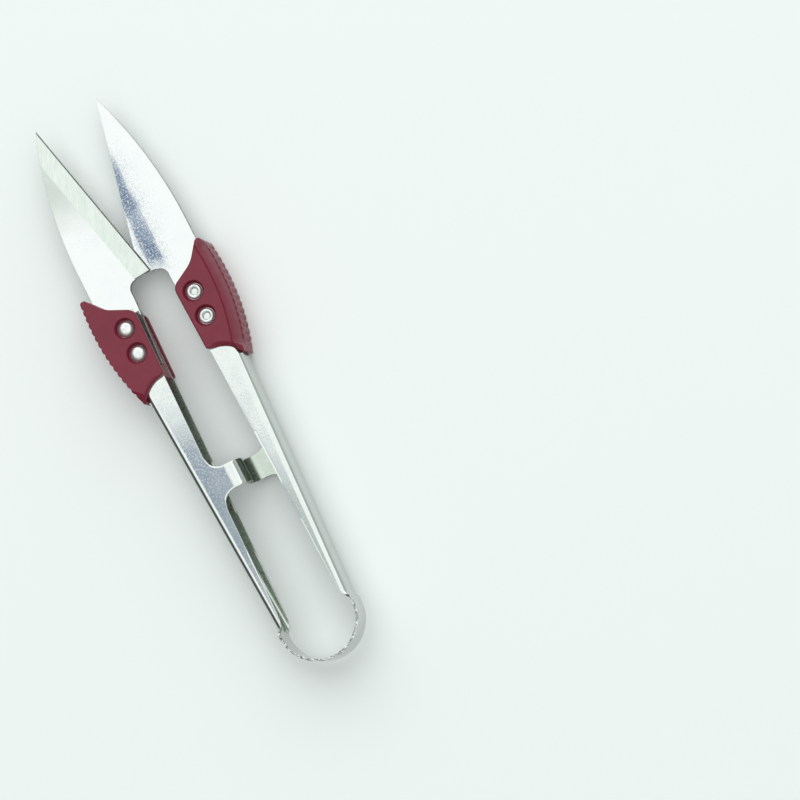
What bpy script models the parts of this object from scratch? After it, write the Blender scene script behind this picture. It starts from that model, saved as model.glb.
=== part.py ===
"""Spring thread snips: a spring-steel frame, two riveted blades and two moulded grips.

The left half is modelled once. The right half is the same set of pieces turned half a turn
about the long axis, which also puts the right blade underneath the left one.
"""

import math

import bmesh
import bpy
from mathutils import Vector

# Driving dimensions, in metres. X runs across the snips, Y from the back of the bow to the
# blade tips, and Z up. While modelling, z = 0 is the plane where the two blades meet.
LENGTH = 0.124
GAP = 0.0003
SHEET = 0.0005
WELD = 0.000002

BOW_RADIUS = 0.0084
STRIP_HEIGHT = 0.0075

ARM_ROOT_Y = 0.0102
ARM_FRONT_Y = 0.0810
ARM_SPLAY = math.radians(2.88)
BEND_RADIUS = 0.0013
FLANGE_ROOT_X = -0.00665
FLANGE_ROOT_Y = 0.0116
FLANGE_FRONT_X = -0.0050

HOOK_WIDTH = 0.0051
HOOK_Y = 0.04165
HOOK_BEND = 0.0029
HOOK_LIP_PAST_MIDDLE = 0.0011
HOOK_FILLET = 0.0031
HOOK_LIP_CORNER = 0.0012

BLADE_THICKNESS = 0.0010
EDGE_LAND = 0.00008
BEVEL_WIDTH = 0.0036
SPINE_X = -0.01235
SPINE_RADIUS = 0.090
SPINE_TANGENT_Y = 0.0931
HEEL = (0.0012, 0.0873)
NOTCH = (-0.0042, 0.0868)
NOTCH_RADIUS = 0.0020
NECK_START_Y = 0.0832
TANG_INNER_X = -0.0051
TANG_END_Y = 0.0690
TANG_SHOULDER_Y = 0.0819
TANG_ROUND = 0.0012

GRIP_THICKNESS = 0.0100
GRIP_WIDEST_X = -0.01445
GRIP_WIDEST_Y = 0.0801
GRIP_SIDE_RADIUS = 0.050
GRIP_ARCH_CENTRE = (-0.0054, 0.0595)
GRIP_ARCH_RADIUS = 0.0066
GRIP_ARCH_SPAN = (math.radians(146), math.radians(98))
GRIP_HORN = (-0.0115, 0.0623)
GRIP_HORN_ROUND = 0.0003
GRIP_TOP_Y = 0.0872
GRIP_TOP_ROUND = 0.00055
GRIP_LOW_CORNER = (-0.0050, 0.0664)
GRIP_HIGH_CORNER = (-0.0046, 0.0807)
GRIP_HIGH_ROUND = 0.0022
GRIP_SWEEP_CORNER = (-0.0100, 0.0835)
GRIP_SWEEP_RADIUS = 0.0060
GRIP_TOP_CORNER = (-0.0129, 0.0872)
GRIP_EDGE_ROUND = 0.0004
FILLER_RECESS = 0.0009

RIVET_X = -0.00795
RIVET_FRONT_Y = 0.0781
RIVET_REAR_Y = 0.0725
RIVET_SHANK = 0.00095
RIVET_HEAD = 0.0017
RIVET_HEAD_HEIGHT = 0.0007
RIVET_TAIL = 0.0016
RIVET_TAIL_HEIGHT = 0.00045
RIVET_BORE = 0.0006
RIVET_BORE_DEPTH = 0.0015
GRIP_HOLE = 0.00215

ARC_STEPS = 6
BEND_STEPS = 4
ROUND_SIDES = 24

# Values that follow from the driving dimensions.
HALF_STRIP = STRIP_HEIGHT / 2
HALF_GRIP = GRIP_THICKNESS / 2
BOW_CENTRE_Y = BOW_RADIUS
BLADE_LOW = GAP / 2
BLADE_HIGH = BLADE_LOW + BLADE_THICKNESS
HOOK_LOW_Y = HOOK_Y - HOOK_WIDTH / 2
HOOK_HIGH_Y = HOOK_Y + HOOK_WIDTH / 2
HOOK_LIP_X = (SHEET + GAP) / 2
HOOK_BEND_X = HOOK_LIP_X - HOOK_BEND
TAB_LOW_Y = HOOK_LOW_Y - 2 * HOOK_FILLET
TAB_HIGH_Y = HOOK_HIGH_Y + 2 * HOOK_FILLET
TIP_X = SPINE_X + (LENGTH - SPINE_TANGENT_Y) ** 2 / (2 * SPINE_RADIUS)
RIVET_YS = (RIVET_FRONT_Y, RIVET_REAR_Y)
RIVET_HOLE = RIVET_SHANK + GAP

# The bow bends along its whole length, so each arm turns about the centroid of its half of
# the bow, which reaches from the back of the bow round to the root of the arm.
BOW_END_ANGLE = math.asin((ARM_ROOT_Y - GAP - BOW_CENTRE_Y) / BOW_RADIUS)
HALF_BOW_SWEEP = BOW_END_ANGLE + math.pi / 2
HINGE_X = -BOW_RADIUS * (math.sin(BOW_END_ANGLE) + 1) / HALF_BOW_SWEEP
HINGE_Y = BOW_CENTRE_Y - BOW_RADIUS * math.cos(BOW_END_ANGLE) / HALF_BOW_SWEEP


def clear_scene():
    for leftover in list(bpy.data.objects):
        bpy.data.objects.remove(leftover)


def new_collection(name):
    collection = bpy.data.collections.new(name)
    bpy.context.scene.collection.children.link(collection)
    return collection


def material(name, colour, roughness, metallic):
    made = bpy.data.materials.new(name)
    made.use_nodes = True
    shader = made.node_tree.nodes["Principled BSDF"]
    shader.inputs["Base Color"].default_value = (*colour, 1)
    shader.inputs["Roughness"].default_value = roughness
    shader.inputs["Metallic"].default_value = metallic
    return made


def arc(centre, radius, start, end, steps):
    """Points along a circular arc, both ends included."""
    angles = [start + (end - start) * step / steps for step in range(steps + 1)]
    return [(centre[0] + radius * math.cos(a), centre[1] + radius * math.sin(a)) for a in angles]


def rounded(corners, steps=ARC_STEPS):
    """A closed outline through corners (x, y, radius), each corner rounded to its radius."""
    points = []
    for index, (x, y, radius) in enumerate(corners):
        corner = Vector((x, y))
        before = (Vector(corners[index - 1][:2]) - corner).normalized()
        after = (Vector(corners[(index + 1) % len(corners)][:2]) - corner).normalized()
        half_angle = before.angle(after) / 2
        if radius == 0:
            points.append((x, y))
            continue
        centre = corner + (before + after).normalized() * radius / math.sin(half_angle)
        first = corner + before * radius / math.tan(half_angle) - centre
        turn = (math.pi - 2 * half_angle) * (1 if before.cross(after) < 0 else -1)
        start = math.atan2(first.y, first.x)
        points += arc(centre, radius, start, start + turn, steps)
    return points


def extruded(name, outline, low, high, collection):
    """A flat outline in the XY plane given a thickness from low to high along Z."""
    curve = bpy.data.curves.new(name, "CURVE")
    curve.dimensions = "2D"
    curve.fill_mode = "BOTH"
    curve.extrude = (high - low) / 2
    spline = curve.splines.new("POLY")
    spline.points.add(len(outline) - 1)
    for point, (x, y) in zip(spline.points, outline):
        point.co = (x, y, 0, 1)
    spline.use_cyclic_u = True
    sketch = bpy.data.objects.new(name + "_sketch", curve)
    sketch.location.z = (low + high) / 2
    collection.objects.link(sketch)
    bpy.context.view_layer.update()
    solid = bpy.data.objects.new(name, flattened(sketch))
    collection.objects.link(solid)
    bpy.data.objects.remove(sketch)
    return solid


def flattened(shape):
    """The evaluated mesh of a shape, in the modelling frame, with its loose seams welded."""
    evaluated = shape.evaluated_get(bpy.context.evaluated_depsgraph_get())
    mesh = bpy.data.meshes.new_from_object(evaluated)
    mesh.transform(shape.matrix_world)
    work = bmesh.new()
    work.from_mesh(mesh)
    bmesh.ops.remove_doubles(work, verts=work.verts, dist=WELD)
    bmesh.ops.recalc_face_normals(work, faces=work.faces)
    work.to_mesh(mesh)
    work.free()
    return mesh


def cylinder(name, x, y, radius, low, high, collection):
    return extruded(name, arc((x, y), radius, 0, math.tau, ROUND_SIDES)[:-1], low, high, collection)


def cut(solid, cutters):
    """Subtract the cutters from the solid and keep the result as its mesh."""
    for cutter in cutters:
        cutter.hide_render = True
        cutter.display_type = "WIRE"
        boolean = solid.modifiers.new(cutter.name, "BOOLEAN")
        boolean.operation = "DIFFERENCE"
        boolean.solver = "EXACT"
        boolean.object = cutter
    bpy.context.view_layer.update()
    mesh = flattened(solid)
    solid.modifiers.clear()
    solid.data = mesh


def runs_along(edge):
    """Whether an edge runs most of the length of the arm."""
    return abs(edge.verts[0].co.y - edge.verts[1].co.y) > (ARM_FRONT_Y - ARM_ROOT_Y) / 2


def bevel_edges(solid, chosen, width, segments):
    """Round the edges for which chosen(edge) holds."""
    work = bmesh.new()
    work.from_mesh(solid.data)
    edges = [edge for edge in work.edges if chosen(edge)]
    bmesh.ops.bevel(work, geom=edges, offset=width, segments=segments, profile=0.5, affect="EDGES")
    work.to_mesh(solid.data)
    work.free()


def arm_outer_x(y):
    """Outer face of the left arm's web at a distance y from the back of the bow."""
    root_x = -math.sqrt(BOW_RADIUS ** 2 - (ARM_ROOT_Y - BOW_CENTRE_Y) ** 2)
    return root_x - math.tan(ARM_SPLAY) * (y - ARM_ROOT_Y)


def flange_inner_x(y):
    """Inner edge of the left arm's flanges at a distance y from the back of the bow."""
    along = (y - FLANGE_ROOT_Y) / (ARM_FRONT_Y - FLANGE_ROOT_Y)
    return FLANGE_ROOT_X + (FLANGE_FRONT_X - FLANGE_ROOT_X) * along


def build_bow(parts):
    """The bow: a strip bent round three quarters of a circle."""
    start = math.pi - BOW_END_ANGLE
    end = math.tau + BOW_END_ANGLE
    centre = (0, BOW_CENTRE_Y)
    steps = 6 * ARC_STEPS
    outline = arc(centre, BOW_RADIUS, start, end, steps)
    outline += arc(centre, BOW_RADIUS - SHEET, end, start, steps)
    return extruded("bow_spring", outline, -HALF_STRIP, HALF_STRIP, parts)


def channel(name, grow, front_y, corners, collection):
    """Solid block over the arm's outer faces, grown by a clearance, with its bends rounded.

    The corners give its inner side, from the root of the arm to the front.
    """
    outline = [(arm_outer_x(ARM_ROOT_Y) - grow, ARM_ROOT_Y), *corners]
    outline.append((arm_outer_x(front_y) - grow, front_y))
    block = extruded(name, outline, -HALF_STRIP - grow, HALF_STRIP + grow, collection)

    def is_bend(edge):
        middle = (edge.verts[0].co + edge.verts[1].co) / 2
        return runs_along(edge) and middle.x < arm_outer_x(middle.y) - grow + WELD

    bevel_edges(block, is_bend, BEND_RADIUS + grow, BEND_STEPS)
    return block


def channel_cavity(name, shrink, collection):
    """The hollow of the channel, shrunk by a clearance and running out past the flanges."""
    inset = SHEET + shrink
    low_y = ARM_ROOT_Y - BOW_RADIUS
    high_y = ARM_FRONT_Y + BOW_RADIUS
    outline = [
        (arm_outer_x(low_y) + inset, low_y),
        (BOW_RADIUS, low_y),
        (BOW_RADIUS, high_y),
        (arm_outer_x(high_y) + inset, high_y),
    ]
    half = HALF_STRIP - inset
    block = extruded(name, outline, -half, half, collection)

    def is_bend(edge):
        return runs_along(edge) and edge.verts[0].co.x < 0

    bevel_edges(block, is_bend, BEND_RADIUS - inset, BEND_STEPS)
    return block


def hook_flat_outline():
    """Inner edge of the top flange, with the tab of the stop hook standing out from it."""
    corners = [
        (flange_inner_x(TAB_LOW_Y), TAB_LOW_Y, 0),
        (flange_inner_x(HOOK_LOW_Y), HOOK_LOW_Y, HOOK_FILLET),
        (HOOK_BEND_X, HOOK_LOW_Y, 0),
        (HOOK_BEND_X, HOOK_HIGH_Y, 0),
        (flange_inner_x(HOOK_HIGH_Y), HOOK_HIGH_Y, HOOK_FILLET),
        (flange_inner_x(TAB_HIGH_Y), TAB_HIGH_Y, 0),
    ]
    return rounded(corners)


def curl_hook(arm):
    """Bend the end of the tab down through a quarter turn and run it on into the lip."""
    centre = Vector((HOOK_BEND_X, 0, HALF_STRIP - SHEET / 2 - HOOK_BEND))
    work = bmesh.new()
    work.from_mesh(arm.data)

    def at_tab_end(face):
        return all(abs(vert.co.x - HOOK_BEND_X) < WELD for vert in face.verts)

    tab_end = [face for face in work.faces if at_tab_end(face)]
    turned = bmesh.ops.spin(
        work, geom=tab_end, cent=centre, axis=(0, 1, 0), angle=math.pi / 2, steps=ARC_STEPS
    )
    bmesh.ops.delete(work, geom=tab_end, context="FACES_ONLY")
    bottom = [item for item in turned["geom_last"] if isinstance(item, bmesh.types.BMFace)]
    pushed = bmesh.ops.extrude_face_region(work, geom=bottom)
    bmesh.ops.delete(work, geom=bottom, context="FACES_ONLY")
    lip_verts = [item for item in pushed["geom"] if isinstance(item, bmesh.types.BMVert)]
    drop = centre.z + HOOK_LIP_PAST_MIDDLE
    bmesh.ops.translate(work, verts=lip_verts, vec=(0, 0, -drop))
    corners = []
    for edge in work.edges:
        across = [vert.co for vert in edge.verts]
        low = all(abs(co.z + HOOK_LIP_PAST_MIDDLE) < WELD for co in across)
        if low and abs(across[0].y - across[1].y) < WELD:
            corners.append(edge)
    bmesh.ops.bevel(
        work, geom=corners, offset=HOOK_LIP_CORNER, segments=BEND_STEPS, profile=0.5, affect="EDGES"
    )
    bmesh.ops.recalc_face_normals(work, faces=work.faces)
    work.to_mesh(arm.data)
    work.free()


def rivet_holes(name, cutters):
    """Cutters for the rivet holes, long enough to go right through the arm."""
    def hole(y):
        return cylinder(name, RIVET_X, y, RIVET_HOLE, -STRIP_HEIGHT, STRIP_HEIGHT, cutters)

    return [hole(y) for y in RIVET_YS]


def build_arm(parts, cutters):
    """The left arm: a channel open towards the middle, with its stop hook on the top flange."""
    corners = [(FLANGE_ROOT_X, FLANGE_ROOT_Y)]
    corners += hook_flat_outline()
    corners.append((FLANGE_FRONT_X, ARM_FRONT_Y))
    arm = channel("left_arm", 0, ARM_FRONT_Y, corners, parts)
    cavity = channel_cavity("arm_cavity", 0, cutters)
    under_tab = [
        (flange_inner_x(TAB_LOW_Y), TAB_LOW_Y),
        (BOW_RADIUS, TAB_LOW_Y),
        (BOW_RADIUS, TAB_HIGH_Y),
        (flange_inner_x(TAB_HIGH_Y), TAB_HIGH_Y),
    ]
    # The block carries the tab at its full height, so all of it below the top flange goes.
    clear_below = extruded("under_tab", under_tab, -STRIP_HEIGHT, HALF_STRIP - 2 * SHEET, cutters)
    cut(arm, [cavity, clear_below, *rivet_holes("flange_hole", cutters)])
    curl_hook(arm)
    return arm


def blade_outline(grow):
    """Spine, shoulder, tang, neck and heel of the left blade, grown sideways by a clearance."""
    steps = 3 * ARC_STEPS
    spine = []
    for step in range(steps + 1):
        y = LENGTH + (SPINE_TANGENT_Y - LENGTH) * step / steps
        spine.append((SPINE_X + (y - SPINE_TANGENT_Y) ** 2 / (2 * SPINE_RADIUS) - grow, y))
    web_clearance = SHEET + 2 * GAP
    tang_outer = arm_outer_x(TANG_END_Y) + web_clearance
    shoulder_outer = arm_outer_x(TANG_SHOULDER_Y) + web_clearance
    lower = rounded([
        (SPINE_X - grow, SPINE_TANGENT_Y, 0),
        (SPINE_X - grow, TANG_SHOULDER_Y - grow, TANG_ROUND),
        (shoulder_outer - grow, TANG_SHOULDER_Y - grow, TANG_ROUND / 3),
        (tang_outer - grow, TANG_END_Y - grow, TANG_ROUND),
        (TANG_INNER_X + grow, TANG_END_Y - grow, TANG_ROUND),
        (NOTCH[0] + grow, NECK_START_Y, 0),
        (NOTCH[0] + grow, NOTCH[1], NOTCH_RADIUS),
        (*HEEL, 0),
    ])
    return spine + lower[1:]


def grind_bevel(blade):
    """Grind the blade's top face down to the cutting edge along a straight line."""
    heel = Vector((*HEEL, BLADE_LOW + EDGE_LAND))
    tip = Vector((TIP_X, LENGTH, BLADE_LOW + EDGE_LAND))
    along = (tip - heel).normalized()
    inward = Vector((-along.y, along.x, 0))
    rise = inward * BEVEL_WIDTH + Vector((0, 0, BLADE_THICKNESS - EDGE_LAND))
    normal = along.cross(rise).normalized()
    if normal.z < 0:
        normal.negate()
    work = bmesh.new()
    work.from_mesh(blade.data)
    everything = [*work.verts, *work.edges, *work.faces]
    bmesh.ops.bisect_plane(
        work, geom=everything, dist=WELD / 10, plane_co=heel, plane_no=normal, clear_outer=True
    )
    rim = [edge for edge in work.edges if edge.is_boundary]
    bmesh.ops.contextual_create(work, geom=rim)
    bmesh.ops.recalc_face_normals(work, faces=work.faces)
    work.to_mesh(blade.data)
    work.free()


def build_blade(parts, cutters):
    blade = extruded("left_blade", blade_outline(0), BLADE_LOW, BLADE_HIGH, parts)
    grind_bevel(blade)
    cut(blade, rivet_holes("tang_hole", cutters))
    return blade


def grip_side_x(y):
    """Bowed outer side of the left grip at a distance y from the back of the bow."""
    return GRIP_WIDEST_X + (y - GRIP_WIDEST_Y) ** 2 / (2 * GRIP_SIDE_RADIUS)


def grip_outline():
    """Bowed outer side, horn, arch, inner side and swept top edge of the left grip."""
    top_y = GRIP_TOP_Y - 2 * GRIP_TOP_ROUND
    side_end_y = GRIP_HORN[1] + 4 * GRIP_HORN_ROUND
    steps = 3 * ARC_STEPS
    side = []
    for step in range(steps + 1):
        y = top_y + (side_end_y - top_y) * step / steps
        side.append((grip_side_x(y), y))
    arch = arc(GRIP_ARCH_CENTRE, GRIP_ARCH_RADIUS, *GRIP_ARCH_SPAN, ARC_STEPS)
    ends = rounded([
        (*side[-1], 0),
        (*GRIP_HORN, GRIP_HORN_ROUND),
        (*arch[0], 0),
        (*arch[-1], 0),
        (*GRIP_LOW_CORNER, GRIP_TOP_ROUND),
        (*GRIP_HIGH_CORNER, GRIP_HIGH_ROUND),
        (*GRIP_SWEEP_CORNER, GRIP_SWEEP_RADIUS),
        (*GRIP_TOP_CORNER, GRIP_TOP_ROUND),
        (grip_side_x(GRIP_TOP_Y), GRIP_TOP_Y, GRIP_TOP_ROUND),
        (*side[0], 0),
    ])
    arch_at = ends.index(arch[0])
    return side[:-1] + ends[:arch_at] + arch[:-1] + ends[arch_at + 1:-1]


def build_grip(parts, cutters):
    """The left grip: a moulding over the front of the arm, slotted for the arm and the tang."""
    grip = extruded("left_grip", grip_outline(), -HALF_GRIP, HALF_GRIP, parts)

    def on_rim(edge):
        faces = edge.link_faces
        flat = [face for face in faces if abs(face.normal.z) > 0.9]
        return len(flat) == 1 and len(faces) == 2

    bevel_edges(grip, on_rim, GRIP_EDGE_ROUND, 2)
    slot_front = ARM_FRONT_Y + GAP
    slot_inner_x = GRIP_HIGH_CORNER[0] + SHEET
    slot_corners = [(slot_inner_x, ARM_ROOT_Y), (slot_inner_x, slot_front)]
    slot = channel("arm_slot", GAP, slot_front, slot_corners, cutters)
    cut(slot, [channel_cavity("slot_core", GAP, cutters)])
    recess_outline = [
        (GRIP_LOW_CORNER[0] - FILLER_RECESS, TANG_END_Y - BOW_RADIUS),
        (BOW_RADIUS, TANG_END_Y - BOW_RADIUS),
        (BOW_RADIUS, GRIP_TOP_Y),
        (GRIP_HIGH_CORNER[0] - FILLER_RECESS, GRIP_TOP_Y),
    ]
    # The recess stops inside the slots for the two flanges, so it leaves the plates whole.
    recess_top = HALF_STRIP + GAP / 2
    recess = extruded("inner_recess", recess_outline, -recess_top, recess_top, cutters)
    tang_slot = extruded("tang_slot", blade_outline(GAP), BLADE_LOW - GAP, BLADE_HIGH + GAP, cutters)
    holes = []
    for y in RIVET_YS:
        holes.append(cylinder("filler_hole", RIVET_X, y, RIVET_HOLE, -HALF_STRIP, HALF_STRIP, cutters))
        for low, high in ((HALF_STRIP, GRIP_THICKNESS), (-GRIP_THICKNESS, -HALF_STRIP)):
            holes.append(cylinder("grip_hole", RIVET_X, y, GRIP_HOLE, low, high, cutters))
    cut(grip, [slot, recess, tang_slot, *holes])
    return grip


def rivet_profile():
    """Half section of a rivet, from the top of its head down its outer side to its tail."""
    head_low = HALF_STRIP + GAP
    tail_high = -HALF_STRIP - GAP
    dome_sag = RIVET_HEAD_HEIGHT
    dome_radius = (RIVET_HEAD ** 2 + dome_sag ** 2) / (2 * dome_sag)
    dome_half = math.asin(RIVET_HEAD / dome_radius)
    centre_z = head_low + dome_sag - dome_radius
    dome = arc((0, centre_z), dome_radius, math.pi / 2, math.pi / 2 - dome_half, ARC_STEPS)
    roll = RIVET_TAIL_HEIGHT / 2
    roll_centre = (RIVET_TAIL - roll, tail_high - roll)
    profile = dome[:-1] + [(RIVET_HEAD, head_low)]
    profile += [(RIVET_SHANK, head_low), (RIVET_SHANK, tail_high)]
    profile += arc(roll_centre, roll, math.pi / 2, -math.pi / 2, ARC_STEPS)
    bore_top = tail_high - RIVET_TAIL_HEIGHT + RIVET_BORE_DEPTH
    profile += [(RIVET_BORE, tail_high - RIVET_TAIL_HEIGHT), (RIVET_BORE, bore_top), (0, bore_top)]
    return profile


def build_rivet(name, y, parts):
    """A semi-tubular rivet standing upright, its domed head up and its rolled tail down."""
    profile = rivet_profile()
    mesh = bpy.data.meshes.new(name)
    vertices = [(x, 0, z) for x, z in profile]
    edges = [(index, index + 1) for index in range(len(profile) - 1)]
    mesh.from_pydata(vertices, edges, [])
    rivet = bpy.data.objects.new(name, mesh)
    parts.objects.link(rivet)
    rivet.location = (RIVET_X, y, 0)
    turn = rivet.modifiers.new("turn", "SCREW")
    turn.steps = ROUND_SIDES
    turn.render_steps = ROUND_SIDES
    turn.use_merge_vertices = True
    turn.merge_threshold = GAP / 100
    bpy.context.view_layer.update()
    baked = flattened(rivet)
    rivet.modifiers.clear()
    rivet.location = (0, 0, 0)
    rivet.data = baked
    return rivet


def hinge_empty(name, side, parts):
    """An empty on the line that one arm turns about; the right one is turned over."""
    empty = bpy.data.objects.new(name, None)
    empty.location = (HINGE_X * side, HINGE_Y, 0)
    empty.rotation_euler.y = 0 if side > 0 else math.pi
    parts.objects.link(empty)
    return empty


def hang(piece, empty):
    """Parent a piece to its hinge empty so that it keeps its place in the modelling frame."""
    piece.parent = empty
    piece.location = (-HINGE_X, -HINGE_Y, 0)


def shade(piece):
    piece.data.shade_smooth()
    piece.data.set_sharp_from_angle(angle=math.radians(35))


def build():
    clear_scene()
    parts = new_collection("thread_snips")
    cutters = new_collection("cutters")
    steel = material("spring_steel", (0.62, 0.64, 0.66), 0.18, 1)
    blade_steel = material("blade_steel", (0.70, 0.71, 0.72), 0.15, 1)
    rivet_steel = material("rivet_steel", (0.72, 0.72, 0.70), 0.22, 1)
    plastic = material("burgundy_plastic", (0.24, 0.035, 0.055), 0.4, 0)

    bow = build_bow(parts)
    bow.data.materials.append(steel)
    left_pieces = [
        (build_arm(parts, cutters), steel),
        (build_blade(parts, cutters), blade_steel),
        (build_grip(parts, cutters), plastic),
        (build_rivet("left_front_rivet", RIVET_FRONT_Y, parts), rivet_steel),
        (build_rivet("left_rear_rivet", RIVET_REAR_Y, parts), rivet_steel),
    ]
    shade(bow)
    left_hinge = hinge_empty("left_hinge", 1, parts)
    right_hinge = hinge_empty("right_hinge", -1, parts)
    for piece, look in left_pieces:
        piece.data.materials.clear()
        piece.data.materials.append(look)
        shade(piece)
        twin = bpy.data.objects.new(piece.name.replace("left", "right"), piece.data)
        parts.objects.link(twin)
        hang(piece, left_hinge)
        hang(twin, right_hinge)

    # The finished snips lie flat, with the origin under the middle of their outline.
    resting_frame = bpy.data.objects.new("resting_frame", None)
    resting_frame.location = (0, -LENGTH / 2, HALF_GRIP)
    parts.objects.link(resting_frame)
    for top_level in (bow, left_hinge, right_hinge):
        top_level.parent = resting_frame


build()
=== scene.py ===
"""Looks for the spring thread snips: bent sheet-metal frame, ground blades, ribbed grips and rivets.

The left half is modelled once, in metres, with y measured from the back of the bow and z from the
plane between the blades. The right half is the same set of meshes turned half a turn about the
long axis, as in the real thing.
"""

import math

import bmesh
import bpy
from mathutils import Matrix, Vector


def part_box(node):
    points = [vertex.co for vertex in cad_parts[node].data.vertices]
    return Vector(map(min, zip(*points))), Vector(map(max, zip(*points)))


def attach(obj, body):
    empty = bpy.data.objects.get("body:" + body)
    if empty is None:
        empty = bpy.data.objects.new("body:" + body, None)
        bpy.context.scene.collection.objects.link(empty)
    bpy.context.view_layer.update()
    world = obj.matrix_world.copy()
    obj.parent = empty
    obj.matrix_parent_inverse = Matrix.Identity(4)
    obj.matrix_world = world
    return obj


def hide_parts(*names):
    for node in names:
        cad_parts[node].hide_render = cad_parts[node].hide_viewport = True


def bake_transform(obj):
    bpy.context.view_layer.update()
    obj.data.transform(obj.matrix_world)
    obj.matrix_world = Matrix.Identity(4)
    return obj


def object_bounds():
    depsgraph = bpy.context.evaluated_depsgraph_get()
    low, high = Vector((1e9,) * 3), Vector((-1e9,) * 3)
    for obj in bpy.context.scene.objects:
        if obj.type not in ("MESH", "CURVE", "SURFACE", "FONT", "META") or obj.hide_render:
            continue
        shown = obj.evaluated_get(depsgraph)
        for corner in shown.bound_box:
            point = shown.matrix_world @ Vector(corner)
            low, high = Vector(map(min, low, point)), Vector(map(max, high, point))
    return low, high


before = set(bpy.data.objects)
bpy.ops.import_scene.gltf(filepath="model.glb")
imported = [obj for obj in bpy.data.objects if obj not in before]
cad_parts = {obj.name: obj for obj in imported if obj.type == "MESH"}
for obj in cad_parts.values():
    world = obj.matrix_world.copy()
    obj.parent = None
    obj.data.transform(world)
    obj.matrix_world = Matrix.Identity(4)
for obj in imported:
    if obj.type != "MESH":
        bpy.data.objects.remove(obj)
CAD_LOW, CAD_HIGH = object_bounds()

# Sizes and places read from the frame.
BACK_Y = CAD_LOW.y
MIDDLE_Z = (CAD_LOW.z + CAD_HIGH.z) / 2
PLACE = Matrix.Translation((0, BACK_Y, MIDDLE_Z))
HALF_TURN = Matrix.Translation((0, 0, 2 * MIDDLE_Z)) @ Matrix.Rotation(math.pi, 4, "Y")


def local_box(node):
    """Lowest and highest corner of a CAD node, measured as the pieces here are."""
    low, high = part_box(node)
    origin = Vector((0, BACK_Y, MIDDLE_Z))
    return low - origin, high - origin


BOW_HIGH = local_box("bow_spring")[1]
ARM_LOW, ARM_HIGH = local_box("left_arm")
BLADE_LOW, BLADE_HIGH = local_box("left_blade")
GRIP_LOW, GRIP_HIGH = local_box("left_grip")

BOW_RADIUS = BOW_HIGH.x
HALF_STRIP = BOW_HIGH.z
ARM_ROOT = Vector((-math.sqrt(BOW_RADIUS ** 2 - (ARM_LOW.y - BOW_RADIUS) ** 2), ARM_LOW.y))
ARM_FRONT = Vector((ARM_LOW.x, ARM_HIGH.y))
ARM_ALONG = (ARM_FRONT - ARM_ROOT).normalized()
ARM_LENGTH = (ARM_FRONT - ARM_ROOT).length
HOOK_FACE_X = ARM_HIGH.x
LENGTH = CAD_HIGH.y - CAD_LOW.y

# Sheet metal.
SHEET = 0.0005
BEND_RADIUS = 0.0013
KINK_REACH = 0.0009
FLANGE_START = 0.0004
FLANGE_SLANT = 0.0009
FLANGE_SLANT_FADE = 0.004
FLANGE_ROOT = Vector((-0.00665, 0.0116))
FLANGE_FRONT_X = -0.0050
ROOT_SPACING = 0.0004
ARM_SPACING = 0.0018
HOOK_Y = 0.04165
HOOK_WIDTH = 0.0051
HOOK_FILLET = 0.0031
HOOK_BEND = 0.00315
HOOK_DROP = 0.0011
HOOK_CORNER = 0.0012
EDGE_BREAK = 0.00005

# Blades.
BLADE_THICKNESS = BLADE_HIGH.z - BLADE_LOW.z
BEVEL_WIDTH = 0.0036
BEVEL_HOLLOW = 0.05
EDGE_LAND = 0.00008
HONED_WIDTH = 0.00024
HONED_RISE = 0.00018
SPINE_X = BLADE_LOW.x
SPINE_RADIUS = 0.090
SPINE_TANGENT_Y = 0.0931
HEEL = Vector((BLADE_HIGH.x, 0.0873))
NOTCH = Vector((-0.0042, 0.0868))
NOTCH_RADIUS = 0.0020
NECK_START_Y = 0.0832
TANG_INNER_X = -0.0051
TANG_SHOULDER_Y = 0.0819
SHOULDER_FADE = 0.0012
BLADE_BREAK = 0.00013
TIP = Vector((SPINE_X + (LENGTH - SPINE_TANGENT_Y) ** 2 / (2 * SPINE_RADIUS), LENGTH))

# Grips.
HALF_GRIP = GRIP_HIGH.z
GRIP_WIDEST = Vector((GRIP_LOW.x, 0.0801))
GRIP_SIDE_RADIUS = 0.050
GRIP_ARCH_CENTRE = Vector((-0.0054, 0.0595))
GRIP_ARCH_RADIUS = 0.0066
GRIP_ARCH_SPAN = (math.radians(146), math.radians(98))
GRIP_HORN = Vector((-0.0115, 0.0623))
GRIP_TOP_Y = GRIP_HIGH.y
GRIP_LOW_CORNER = Vector((-0.0050, 0.0664))
GRIP_HIGH_CORNER = Vector((-0.0046, 0.0807))
GRIP_SWEEP_CORNER = Vector((-0.0100, 0.0835))
GRIP_TOP_CORNER_X = -0.0129
GRIP_TOP_ROUND = 0.0010
GRIP_HORN_ROUND = 0.0012
RIB_PITCH = 0.00145
RIB_DEPTH = 0.00026
RIB_START_Y = 0.0652
RIB_COUNT = 14
RIB_END_Y = RIB_START_Y + RIB_COUNT * RIB_PITCH
RIB_LOW_Z = -0.0004
RIB_DOME = 0.0008
GRIP_RIM = 0.00022
GRIP_SHOULDER = 0.0015
GRIP_SHOULDER_RISE = 0.0040
SHOULDER_FLATNESS = 0.6
GRIP_ARCH_ROUND = 0.0009
ROUNDING_REACH = 0.0006
GROOVE_INSET = 0.0018
HORN_FACET = Vector((-0.0110, 0.0650))
HORN_FACET_WAY = Vector((-0.69, -0.72)).normalized()
HORN_FACET_SLOPE = math.radians(33)
GRIP_HOLE = 0.00215
GRIP_FIT = 0.00006
GRIP_RECESS = 0.0009
GRIP_BREAK = 0.00007

# Rivets.
RIVET_NODES = ("front_rivet", "rear_rivet")
RIVET_TAIL = 0.0016
RIVET_BORE = 0.00062
RIVET_SHANK = 0.00095
RIVET_SKIRT = 0.00010
DOME_FULLNESS = 4.6
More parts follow.
